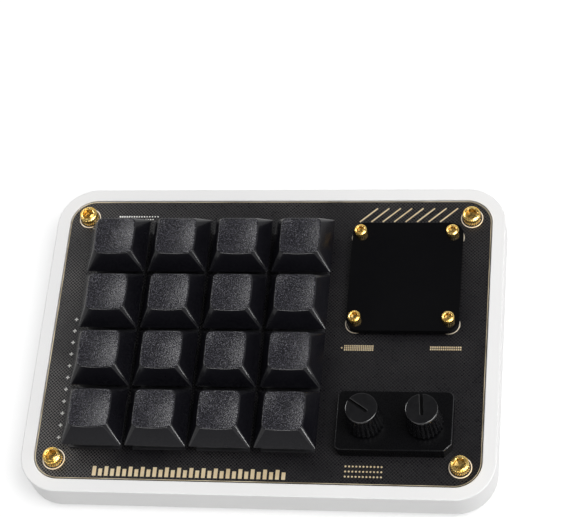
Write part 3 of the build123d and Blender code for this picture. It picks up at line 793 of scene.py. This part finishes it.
def makeFeet(spec):
    low, high = boxOf("rear_feet")
    crown = high.z - spec["edge"]
    rings = [(spec["radius"], high.z)]
    for step in range(spec["steps"] + 1):
        turn = pi / 2 * step / spec["steps"]
        reach = spec["flat"] + (spec["radius"] - spec["flat"]) * cos(turn)
        rings.append((reach, crown * (1 - sin(turn))))
    domes = [
        turnedMesh((x, (low.y + high.y) / 2), rings, spec["segments"])
        for x in (low.x + spec["radius"], high.x - spec["radius"])
    ]
    makePiece(gather(domes), "foot_domes", ["footRubber"], ["rear_feet"])
    low, high = boxOf("front_foot_strips")
    strips = []
    length = spec["stripLength"]
    for x in (low.x + length / 2, high.x - length / 2):
        strip = roundBlock(
            (x, (low.y + high.y) / 2, (low.z + high.z) / 2),
            (length, spec["stripWidth"], high.z - low.z), 2, *spec["stripRound"],
        )
        roundEdges(strip, levelFace(strip, low.z).edges, *spec["stripEdge"])
        strips.append(strip)
    makePiece(
        gather(strips), "foot_strips", ["footRubber"], ["front_foot_strips"]
    )


makeFeet(footValues)
print("feet made")

# ---- keycaps

capValues = {
    "base": 18.1, "top": 11.85, "baseCorner": 0.55, "topCorner": (1.75, 8),
    "bow": 0.15, "bowSteps": 7, "longEdge": 0.6, "dishRadius": 32.0, "rings": 10,
    "rimRound": (0.34, 4), "rimZone": 1.5, "glossZone": 1.6, "glossTilt": (0.45, 0.94),
    "wall": 1.2, "roof": 0.85, "innerTop": 11.25, "boss": 2.65, "bossFoot": 19.8,
    "bossSunk": 0.2, "bossSides": 32, "crossLong": 4.04, "crossThin": (1.34, 1.14),
    "crossTop": 23.6,
}


def capTemplate(spec, low, high):
    # One cap about its own middle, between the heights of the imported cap
    halfBase, halfTop = spec["base"] / 2, spec["top"] / 2
    topCorner = spec["topCorner"][0]
    size = (spec["top"], spec["top"], high - low)
    bm = roundBlock((0, 0, (low + high) / 2), size, 2, *spec["topCorner"])
    share = spec["baseCorner"] / topCorner
    for v in bm.verts:
        if v.co.z / mm > low + 0.01:
            continue
        for axis in (0, 1):
            side = 1 if v.co[axis] > 0 else -1
            inner = side * (halfTop - topCorner)
            pivot = side * (halfBase - spec["baseCorner"])
            v.co[axis] = (pivot + (v.co[axis] / mm - inner) * share) * mm
    # The long edges are divided, and the top ones bow outwards
    longest = spec["longEdge"] * spec["top"] * mm
    bmesh.ops.subdivide_edges(
        bm, edges=[e for e in bm.edges if e.calc_length() > longest
                   and abs(e.verts[0].co.z - e.verts[1].co.z) < 1e-7],
        cuts=spec["bowSteps"], use_grid_fill=True,
    )
    straight = halfTop - topCorner
    for v in bm.verts:
        if v.co.z / mm < high - 0.01:
            continue
        for axis in (0, 1):
            along = abs(v.co[1 - axis] / mm) / straight
            if abs(abs(v.co[axis] / mm) - halfTop) < 1e-3 and along <= 1.001:
                v.co[axis] *= 1 + spec["bow"] * (1 - along ** 2) / halfTop
    cornerReach = straight * sqrt(2) + topCorner
    dish = spec["dishRadius"]
    dishTop = high + sqrt(dish ** 2 - cornerReach ** 2)

    def onDish(x, y):
        return dishTop - sqrt(dish ** 2 - x * x - y * y)

    top = levelFace(bm, high)
    for ring in range(1, spec["rings"]):
        inwards = 1 - 1 / (spec["rings"] - ring + 1)
        top = grow(bm, top, lambda co, s=inwards: Vector((co.x * s, co.y * s, co.z)))
    for v in bm.verts:
        if v.co.z / mm > high - 0.01:
            v.co.z = onDish(v.co.x / mm, v.co.y / mm) * mm
    bm.normal_update()
    rim = [
        e for e in bm.edges
        if len(e.link_faces) == 2
        and all(v.co.z / mm > high - spec["rimZone"] for v in e.verts)
        and sum(f.normal.z < 0.75 for f in e.link_faces) == 1
    ]
    roundEdges(bm, rim, *spec["rimRound"])
    bm.normal_update()
    # The rounded corners and the rim of the top are glossier, the second finish
    steep, level = spec["glossTilt"]
    for f in bm.faces:
        corner = min(abs(f.normal.x), abs(f.normal.y)) > 0.2
        onRim = f.calc_center_median().z / mm > high - spec["glossZone"]
        if corner or (onRim and steep < f.normal.z < level):
            f.material_index = 1
    # Hollow below
    innerBase = halfBase - spec["wall"]
    inwards = innerBase / halfBase
    under = levelFace(bm, low)
    under = grow(bm, under, lambda co: Vector((co.x * inwards, co.y * inwards, co.z)))
    roofLevel = dishTop - dish - spec["roof"]
    narrow = spec["innerTop"] / 2 / innerBase
    grow(bm, under, lambda co: Vector((co.x * narrow, co.y * narrow, roofLevel * mm)))
    boss = rodMesh(
        (0, 0), spec["boss"], spec["bossFoot"], roofLevel + spec["bossSunk"],
        spec["bossSides"],
    )
    bm = carve(bm, [boss], "UNION")
    crossFoot = spec["bossFoot"] - past
    crossMiddle = (crossFoot + spec["crossTop"]) / 2
    crossHigh = spec["crossTop"] - crossFoot
    thinX, thinY = spec["crossThin"]
    return carve(bm, [
        blockMesh((0, 0, crossMiddle), (spec["crossLong"], thinX, crossHigh)),
        blockMesh((0, 0, crossMiddle), (thinY, spec["crossLong"], crossHigh)),
    ])


def makeCaps(spec):
    low, high = boxOf("keycap_r1c1")
    template = capTemplate(spec, low.z, high.z)
    for key in keyNames:
        place = middleOf(f"keycap_{key}")
        bm = template.copy()
        bmesh.ops.translate(bm, verts=bm.verts, vec=(place.x, place.y, 0))
        makePiece(
            bm, f"cap_{key}", ["capPlastic", "capEdge"], [f"keycap_{key}"],
            body=f"key_{key}", sharp=24,
        )
    template.free()


makeCaps(capValues)
print("keycaps made")

# ---- knobs

knobValues = {
    "radius": 5.5, "topRadius": 4.62, "flutes": 24, "flute": 0.36, "perFlute": 8,
    "fluteShape": 0.8, "fluteEnd": 0.25, "footEdge": 0.2, "collar": 0.85, "edge": 0.2,
    "edgeArc": (0.35, 0.3), "slotWidth": 0.92, "slotDepth": 1.1, "slotPast": 2.0,
    "slotFlare": 0.12, "slotSteps": 6, "bore": 3.02, "boreTop": 25.9, "boreSides": 32,
    "angles": {"left": 146.0, "right": 95.0},
}


def makeKnob(side, spec):
    low, high = boxOf(f"knob_{side}")
    centre = ((low.x + high.x) / 2, (low.y + high.y) / 2)
    slope = (spec["radius"] - spec["topRadius"]) / (high.z - low.z)
    gripTop = high.z - spec["collar"]
    edge = spec["edge"]
    arcIn, arcDown = spec["edgeArc"]

    def radiusAt(z):
        return spec["radius"] - slope * (z - low.z)

    topRadius = radiusAt(high.z)
    rings = [
        (radiusAt(low.z) - spec["footEdge"], low.z),
        (radiusAt(low.z), low.z + spec["footEdge"]),
        (radiusAt(gripTop), gripTop - spec["fluteEnd"]),
        (radiusAt(gripTop), gripTop),
        (topRadius, high.z - edge),
        (topRadius - edge * arcIn, high.z - edge * arcDown),
        (topRadius - edge, high.z),
        (topRadius - edge - 0.06, high.z),
    ]
    fluted = (0, 1, 2)

    def ripple(index, radius, angle):
        if index not in fluted:
            return radius
        wave = abs(cos(angle * spec["flutes"] / 2))
        return radius - spec["flute"] * (1 - wave) ** spec["fluteShape"]

    bm = turnedMesh(centre, rings, spec["flutes"] * spec["perFlute"], ripple)
    bm.normal_update()
    # The broken edge is glossier, and a little lighter as a painted highlight, the second finish
    for f in bm.faces:
        middle = f.calc_center_median().z / mm
        if high.z - edge < middle < high.z - 0.005 and 0.2 < f.normal.z < 0.98:
            f.material_index = 1
    reach = spec["radius"] + 1 + spec["slotPast"]
    width, flare = spec["slotWidth"], spec["slotFlare"]
    deep = spec["slotDepth"] - flare
    slot = blockMesh((0, 0, -flare - deep / 2), (reach, width, deep))
    rounded = [e for e in edgesAlong(slot, 2) if all(v.co.x < 0 for v in e.verts)]
    roundEdges(slot, rounded, width / 2 - 0.01, spec["slotSteps"])
    for f in slot.faces:
        f.material_index = 2
    # The slot's rim leans outwards, and the cutter carries on above the knob
    mouth = levelFace(slot, -flare)
    widen = 1 + 2 * flare / width
    mouth = grow(slot, mouth, lambda co: Vector((co.x - flare * mm, co.y * widen, 0)))
    grow(slot, mouth, lambda co: Vector((co.x, co.y, mm)))
    slot.normal_update()
    for f in slot.faces:
        if -0.95 < f.normal.z < -0.1:
            f.material_index = 1
    turn = Matrix.Rotation(radians(spec["angles"][side]), 4, "Z")
    shift = Matrix.Translation(inMetres((*centre, high.z))) @ turn
    shift = shift @ Matrix.Translation(inMetres(((reach / 2 - spec["slotPast"]), 0, 0)))
    bmesh.ops.transform(slot, matrix=shift, verts=slot.verts)
    bore = rodMesh(centre, spec["bore"], low.z - past, spec["boreTop"], spec["boreSides"])
    makePiece(
        carve(bm, [slot, bore]), f"dial_{side}", ["knobBlack", "knobEdgeHighlight", "slotShade"],
        [f"knob_{side}"], body=f"dial_{side}", sharp=28,
    )


for knobSide in ("left", "right"):
    makeKnob(knobSide, knobValues)
print("knobs made")

# ---- deck under the knobs

deckValues = {
    "corner": (1.8, 8), "cutCorner": (2.25, 1), "edge": (0.3, 5), "wall": 1.6, "roof": 1.5,
    "hole": 3.8, "holeSides": 40, "highlightLean": 0.12,
}


def makeDeck(spec):
    low, high = boxOf("knob_deck")
    size = high - low
    middle = (low + high) / 2
    bm = blockMesh(middle, size)

    def nearScrew():
        return max(edgesAlong(bm, 2), key=lambda e: e.verts[0].co.x - e.verts[0].co.y)

    # One corner is cut off beside the plate's screw, the others are round
    sharpest = nearScrew()
    roundEdges(bm, [e for e in edgesAlong(bm, 2) if e != sharpest], *spec["corner"])
    roundEdges(bm, [nearScrew()], *spec["cutCorner"])
    roundEdges(bm, levelFace(bm, high.z).edges, *spec["edge"])
    # Only the left and right edges and the cut corner take the second finish, a painted highlight
    # where the light catches them
    markLeaning(bm, spec["highlightLean"])
    # The hollow is open below
    cavityHigh = size.z - spec["roof"]
    tools = [blockMesh(
        (middle.x, middle.y, low.z + (cavityHigh - past) / 2),
        (size.x - 2 * spec["wall"], size.y - 2 * spec["wall"], cavityHigh + past),
    )]
    for side in ("left", "right"):
        place = middleOf(f"knob_{side}") / mm
        holeFoot = high.z - spec["roof"] - past
        tools.append(rodMesh(
            (place.x, place.y), spec["hole"], holeFoot, high.z + past, spec["holeSides"]
        ))
    makePiece(
        carve(bm, tools), "deck_box", ["deckPlastic", "deckEdgeHighlight"],
        ["knob_deck"], flat=True,
    )


makeDeck(deckValues)
print("deck made")

# ---- screws

cornerScrewValues = {
    "head": 2.75, "headHigh": 3.0, "shank": 1.5, "length": 6.0, "thread": 0.5, "ridge": 0.16,
    "key": 3.1, "keyDeep": 1.7, "knurls": 24, "knurl": 0.16, "edge": 0.3, "crown": 0.2,
}
coverScrewValues = {
    "head": 1.9, "headHigh": 2.0, "shank": 1.0, "length": 6.6, "thread": 0.4, "ridge": 0.12,
    "key": 2.1, "keyDeep": 1.3, "knurls": 20, "knurl": 0.12, "edge": 0.22, "crown": 0.14,
}
screwShape = {
    "point": 0.3, "underEdge": 0.12, "edgeArc": 0.3, "land": (1.16, 0.1), "fall": 0.35,
    "mouth": (0.06, 0.16), "tip": (0.12, 0.3), "perKnurl": 6,
}


def hexReach(halfWidth, angle):
    # Distance from the middle to a hexagon's side at an angle
    turn = (degrees(angle) % 60) - 30
    return halfWidth / cos(radians(turn))


def makeScrew(centre, seat, spec, shape):
    # Knurled head with a hexagon socket, and a threaded shank below
    head, edge, crown = spec["head"], spec["edge"], spec["crown"]
    shank, thread, point = spec["shank"], spec["thread"], shape["point"]
    keyHalf, root = spec["key"] / 2, spec["shank"] - spec["ridge"]
    tip = seat - spec["length"]
    rings = [(shank - point, tip)]
    for turn in range(int((spec["length"] - 2 * point) / thread)):
        foot = tip + point + turn * thread
        rings += [(root, foot), (shank, foot + thread / 2)]
    rings.append((root, seat))
    under = len(rings)
    top = seat + spec["headHigh"]
    shoulder = top - crown
    arc = edge * shape["edgeArc"]
    rings += [
        (head - shape["underEdge"], seat), (head, seat + shape["underEdge"]),
        (head, shoulder - edge), (head - arc, shoulder - arc),
    ]
    knurled = range(under, len(rings))
    land = keyHalf * shape["land"][0] + shape["land"][1]
    middle = (head - edge + land) / 2
    rings += [(head - edge, shoulder), (middle, top - crown * shape["fall"]), (land, top)]
    socket = len(rings)
    mouth, mouthDeep = shape["mouth"]
    floor = top - spec["keyDeep"]
    rings += [(keyHalf + mouth, top - mouth), (keyHalf, top - mouthDeep), (keyHalf, floor)]
    hexes = range(socket, len(rings))
    rings.append((shape["tip"][0], floor - shape["tip"][1]))

    def ripple(index, radius, angle):
        if index in hexes:
            return hexReach(radius, angle)
        if index in knurled:
            return radius - spec["knurl"] * (1 - abs(cos(angle * spec["knurls"] / 2)))
        return radius

    return turnedMesh(centre, rings, spec["knurls"] * shape["perKnurl"], ripple)


def makeScrews(name, places, seat, spec, node):
    screws = [makeScrew(place, seat, spec, screwShape) for place in places]
    makePiece(gather(screws), name, ["polishedGold"], [node], sharp=30)


makeScrews("corner_screws", cornerPlaces, plateTop, cornerScrewValues, "plate_screws")
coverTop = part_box("display_cover")[1].z / mm
makeScrews("cover_screws", coverPlaces, coverTop, coverScrewValues, "display_screws")
print("screws made")

# ---- display cover

coverValues = {"edge": (0.04, 2), "corner": (3.8, 12), "hole": 1.15, "holeSides": 24}


def makeCover(spec):
    low, high = boxOf("display_cover")
    bm = roundBlock((low + high) / 2, high - low, 2, *spec["corner"])
    level = [*levelFace(bm, high.z).edges, *levelFace(bm, low.z).edges]
    roundEdges(bm, level, *spec["edge"])
    markLeaning(bm)
    holes = [
        rodMesh(place, spec["hole"], low.z - past, high.z + past, spec["holeSides"])
        for place in coverPlaces
    ]
    makePiece(
        carve(bm, holes), "cover_sheet", ["coverGloss", "coverEdge"],
        ["display_cover"], flat=True,
    )


makeCover(coverValues)
print("cover made")

# ---- cable socket

portValues = {
    "corner": (1.25, 8), "wall": 0.3, "deep": 6.2, "tongue": (6.7, 4.5, 0.7),
    "tongueRound": (0.2, 3),
}


def makePort(spec):
    low, high = boxOf("usb_socket")
    middle = (low + high) / 2
    shell = roundBlock(middle, high - low, 1, *spec["corner"])
    shell.normal_update()
    mouth = max(shell.faces, key=lambda f: f.calc_center_median().y)
    insetFace(shell, mouth, spec["wall"])
    grow(shell, mouth, lambda co: co - Vector((0, spec["deep"] * mm, 0)))
    tongueY = high.y - spec["deep"] + spec["tongue"][1] / 2
    tongue = roundBlock(
        (middle.x, tongueY, middle.z), spec["tongue"], 0, *spec["tongueRound"]
    )
    makePiece(
        gather([shell, tongue]), "port_shell", ["drawnSteel"], ["usb_socket"]
    )


makePort(portValues)
print("socket made")

# ---- springs in the switches

springValues = {"radius": 1.95, "wire": 0.13, "turns": 9, "perTurn": 16, "sides": 8, "travel": 4.0}


def makeSpring(key, spec):
    low, high = boxOf("switch_springs")
    place = middleOf(f"switch_stem_{key}") / mm
    anchor = inMetres((place.x, place.y, low.z))
    wireRadius = spec["wire"]
    start = Matrix.Translation(inMetres((place.x + spec["radius"], place.y, low.z + wireRadius)))
    bm = bmesh.new()
    bmesh.ops.create_circle(
        bm, radius=wireRadius * mm, segments=spec["sides"],
        matrix=start @ Matrix.Rotation(pi / 2, 4, "X"),
    )
    steps = spec["turns"] * spec["perTurn"]
    rise = (high.z - low.z - 2 * wireRadius) / steps
    bmesh.ops.spin(
        bm, geom=list(bm.verts) + list(bm.edges), cent=anchor, axis=(0, 0, 1),
        dvec=inMetres((0, 0, rise)), angle=2 * pi * spec["turns"], steps=steps,
    )
    closeEnds(bm)
    coil = makePiece(bm, f"coil_{key}", ["drawnSteel"], ["switch_springs"])
    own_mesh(coil)


for keyName in keyNames:
    makeSpring(keyName, springValues)
print("springs made")

# ---- marks on the plate: bare gold and white print, a few hundredths of a millimetre thick

markValues = {
    "thick": 0.035, "sunk": 0.01, "dotSides": 12, "ringSteps": 72,
    "bars": {"count": 32, "first": -46.95, "pitch": 1.81, "wide": 1.13, "foot": -45.6,
             "tall": -42.6, "short": -43.35},
    "stripes": {"count": 8, "foot": (25.54, 39.38), "top": (30.77, 44.13), "pitch": 3.5,
                "wide": 0.46},
    "rings": {"corner": (3.05, 3.37), "cover": (2.94, 3.26)},
    "border": {"corner": (7.7, 20), "wide": 0.21},
    "dotLine": {"start": -50.1, "y": 41.28, "span": 12.8, "step": 0.72, "widening": 0.012,
                "radius": 0.31, "thinning": 0.1},
    "shortLine": {"first": (-41.8, 40.28), "pitch": (0.76, 0), "counts": (1, 4)},
    "shortRadius": 0.2,
    "dotBlock": {"first": (26.9, -41.05), "pitch": (1.04, 1.57), "counts": (3, 11)},
    "blockRadius": 0.29,
    "crosses": {"first": (-59.2, 5.24), "pitch": (0, 3.9), "counts": (11, 1)},
    "crossArms": ((1.12, 0.34), (0.34, 1.12)),
    "pads": (
        ({"first": (23.95, -2.72), "pitch": (0.555, 0.66), "counts": (3, 16)}, (0.36, 0.46)),
        ({"first": (49.4, -2.88), "pitch": (0.625, 0.72), "counts": (2, 15)}, (0.42, 0.5)),
    ),
    "pinOne": {"place": (23.05, -3.38), "size": (0.45, 0.45)},
}
markTop, markFoot = plateTop + markValues["thick"], plateTop - markValues["sunk"]
markThick = markValues["thick"] + markValues["sunk"]
markMiddle = markTop - markThick / 2


def markBlock(centre, size, turn=0.0):
    # A thin plaque on the plate, turned about its middle
    bm = blockMesh((0, 0, markMiddle), (*size, markThick))
    move = Matrix.Translation(inMetres((*centre, 0))) @ Matrix.Rotation(turn, 4, "Z")
    bmesh.ops.transform(bm, matrix=move, verts=bm.verts)
    return bm


def markDisc(centre, radius):
    return rodMesh(centre, radius, markFoot, markTop, markValues["dotSides"])


def markRing(centre, inner, outer):
    # A flat ring with a shallow rectangular section
    bm = bmesh.new()
    corners = [(inner, markFoot), (outer, markFoot), (outer, markTop), (inner, markTop)]
    points = [bm.verts.new(inMetres((centre[0] + r, centre[1], z))) for r, z in corners]
    edges = [bm.edges.new((points[i], points[(i + 1) % 4])) for i in range(4)]
    bmesh.ops.spin(
        bm, geom=points + edges, cent=inMetres((*centre, 0)), axis=(0, 0, 1), angle=2 * pi,
        steps=markValues["ringSteps"], use_merge=True,
    )
    return bm


def gridPlaces(grid):
    # Rows towards the front, each from left to right
    (x, y), (stepX, stepY), (rows, columns) = grid["first"], grid["pitch"], grid["counts"]
    return [
        (x + stepX * column, y - stepY * row) for row in range(rows) for column in range(columns)
    ]


def makeMark(name, look, blocks):
    makePiece(gather(blocks), name, [look])


def makeBars(spec):
    blocks, foot = [], spec["foot"]
    for index in range(spec["count"]):
        x = spec["first"] + index * spec["pitch"]
        top = spec["tall"] if index % 2 == 0 else spec["short"]
        blocks.append(markBlock((x, (foot + top) / 2), (spec["wide"], top - foot)))
    makeMark("plate_bars", "bareGoldPad", blocks)


def makeStripes(spec):
    foot, top = Vector(spec["foot"]), Vector(spec["top"])
    run = top - foot
    blocks = []
    for index in range(spec["count"]):
        centre = (foot + top) / 2 + Vector((index * spec["pitch"], 0))
        blocks.append(markBlock(centre, (run.length, spec["wide"]), atan2(run.y, run.x)))
    makeMark("plate_stripes", "bareGoldPad", blocks)


def makeRings(spec):
    rings = [markRing(place, *spec["corner"]) for place in cornerPlaces]
    rings += [markRing(place, *spec["cover"]) for place in coverPlaces]
    makeMark("plate_rings", "brightPad", rings)


def makeBorder(spec):
    # A gold line along the plate's edge
    size = (2 * plateHigh.x, 2 * plateHigh.y, markThick)
    bm = roundBlock((0, 0, markMiddle), size, 2, *spec["corner"])
    ends = [levelFace(bm, markTop), levelFace(bm, markFoot)]
    for face in ends:
        insetFace(bm, face, spec["wide"])
    loops = [e for face in ends for e in face.edges]
    bmesh.ops.delete(bm, geom=ends, context="FACES_ONLY")
    bmesh.ops.bridge_loops(bm, edges=loops)
    makePiece(bm, "plate_border", ["maskedGold"])


def makeDots(spec):
    # A line of dots that thins out, a short second line, and a block of three rows
    line, dots = spec["dotLine"], []
    x, step = line["start"], line["step"]
    while x < line["start"] + line["span"]:
        fade = line["thinning"] * (x - line["start"]) / line["span"]
        dots.append(markDisc((x, line["y"]), line["radius"] - fade))
        x += step
        step += line["widening"]
    dots += [markDisc(place, spec["shortRadius"]) for place in gridPlaces(spec["shortLine"])]
    makeMark("plate_dots", "printWhite", dots)
    block = [markDisc(place, spec["blockRadius"]) for place in gridPlaces(spec["dotBlock"])]
    makeMark("plate_dot_block", "bareGoldPad", block)


def makeCrosses(spec):
    # A column of small crosses beside the keys
    makeMark("plate_crosses", "printWhite", [
        markBlock(place, arm)
        for place in gridPlaces(spec["crosses"]) for arm in spec["crossArms"]
    ])


def makePads(spec):
    # Two blocks of small pads, one with a pin-one arrow
    pads = [
        markBlock(place, size) for grid, size in spec["pads"] for place in gridPlaces(grid)
    ]
    pads.append(markBlock(spec["pinOne"]["place"], spec["pinOne"]["size"], pi / 4))
    makeMark("plate_pads", "bareGoldPad", pads)


makeBars(markValues["bars"])
makeStripes(markValues["stripes"])
makeRings(markValues["rings"])
makeBorder(markValues["border"])
makeDots(markValues)
makeCrosses(markValues)
makePads(markValues)
print("plate marks made")

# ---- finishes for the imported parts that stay

nodeFinishes = {
    "plateMask": ["top_plate"],
    "innerBoard": ["main_board", "display_board"],
    "turnedBrass": ["plate_inserts", "display_nuts", "display_spacers", "switch_contact_pins"],
    "chipEpoxy": [
        "controller_chip", "display_header", "encoder_pusher_left", "encoder_pusher_right"
    ],
    "panelGlass": ["display_panel"],
    "housingNylon": ["switch_lower_housings", "switch_upper_housings"],
    "drawnSteel": ["encoder_bodies", "encoder_shaft_left", "encoder_shaft_right"],
    "stemPlastic": [f"switch_stem_{key}" for key in keyNames],
}
for finishName, nodeNames in nodeFinishes.items():
    for nodeName in nodeNames:
        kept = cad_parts[nodeName].data.materials
        kept.clear()
        kept.append(materials[finishName])
print("packed parts dressed")

print("done")
